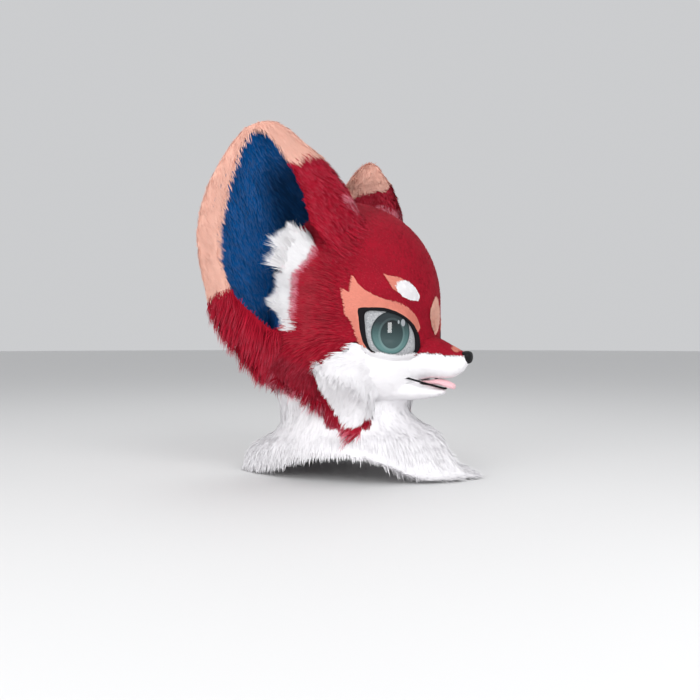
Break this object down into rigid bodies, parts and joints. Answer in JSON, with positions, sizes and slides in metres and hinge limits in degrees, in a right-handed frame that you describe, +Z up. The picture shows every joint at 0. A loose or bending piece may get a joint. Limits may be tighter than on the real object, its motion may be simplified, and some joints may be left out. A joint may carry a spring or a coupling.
{
  "type": "costume animal head",
  "caption": "Hollow costume animal head in red and white fake fur, with tall lined ears, large glossy eyes, a small muzzle with a tongue, and a neck bib.",
  "frame": {"origin": "middle of the bounding box, on the floor that the bib's hem rests on", "axes": "+Z up, the face looks along -Y, the head's right side is at -X"},
  "size_m": [0.537, 0.478, 0.6401],
  "materials": {
    "red_fur": "deep pile fake fur",
    "white_fur": "deep pile fake fur",
    "peach_fur": "short pile fake fur",
    "salmon_fur": "short pile fake fur",
    "blue_lining": "short pile fleece",
    "black_trim": "dense felt",
    "nose": "satin",
    "tongue": "smooth fleece",
    "eye_plate": "glitter under clear gloss",
    "iris": "printed under clear gloss"
  },
  "bodies": {
    "root": {"head_shell": "red_fur", "ruff": "red_fur", "lower_face": "white_fur", "neck_bib": "white_fur", "nose": "nose", "tongue": "tongue", "lip_line": "black_trim", "forehead_mark": "peach_fur", "ear_right": "red_fur", "ear_rim_right": "peach_fur", "ear_lining_right": "blue_lining", "ear_tuft_right": "white_fur", "cheek_fur_right": "white_fur", "eye_patch_right": "salmon_fur", "brow_spot_right": "white_fur", "brow_tail_right": "peach_fur", "eye_rim_right": "black_trim", "eye_right": "eye_plate", "iris_right": "iris", "ear_left": "red_fur", "ear_rim_left": "peach_fur", "ear_lining_left": "blue_lining", "ear_tuft_left": "white_fur", "cheek_fur_left": "white_fur", "eye_patch_left": "salmon_fur", "brow_spot_left": "white_fur", "brow_tail_left": "peach_fur", "eye_rim_left": "black_trim", "eye_left": "eye_plate", "iris_left": "iris"}
  },
  "joints": []
}
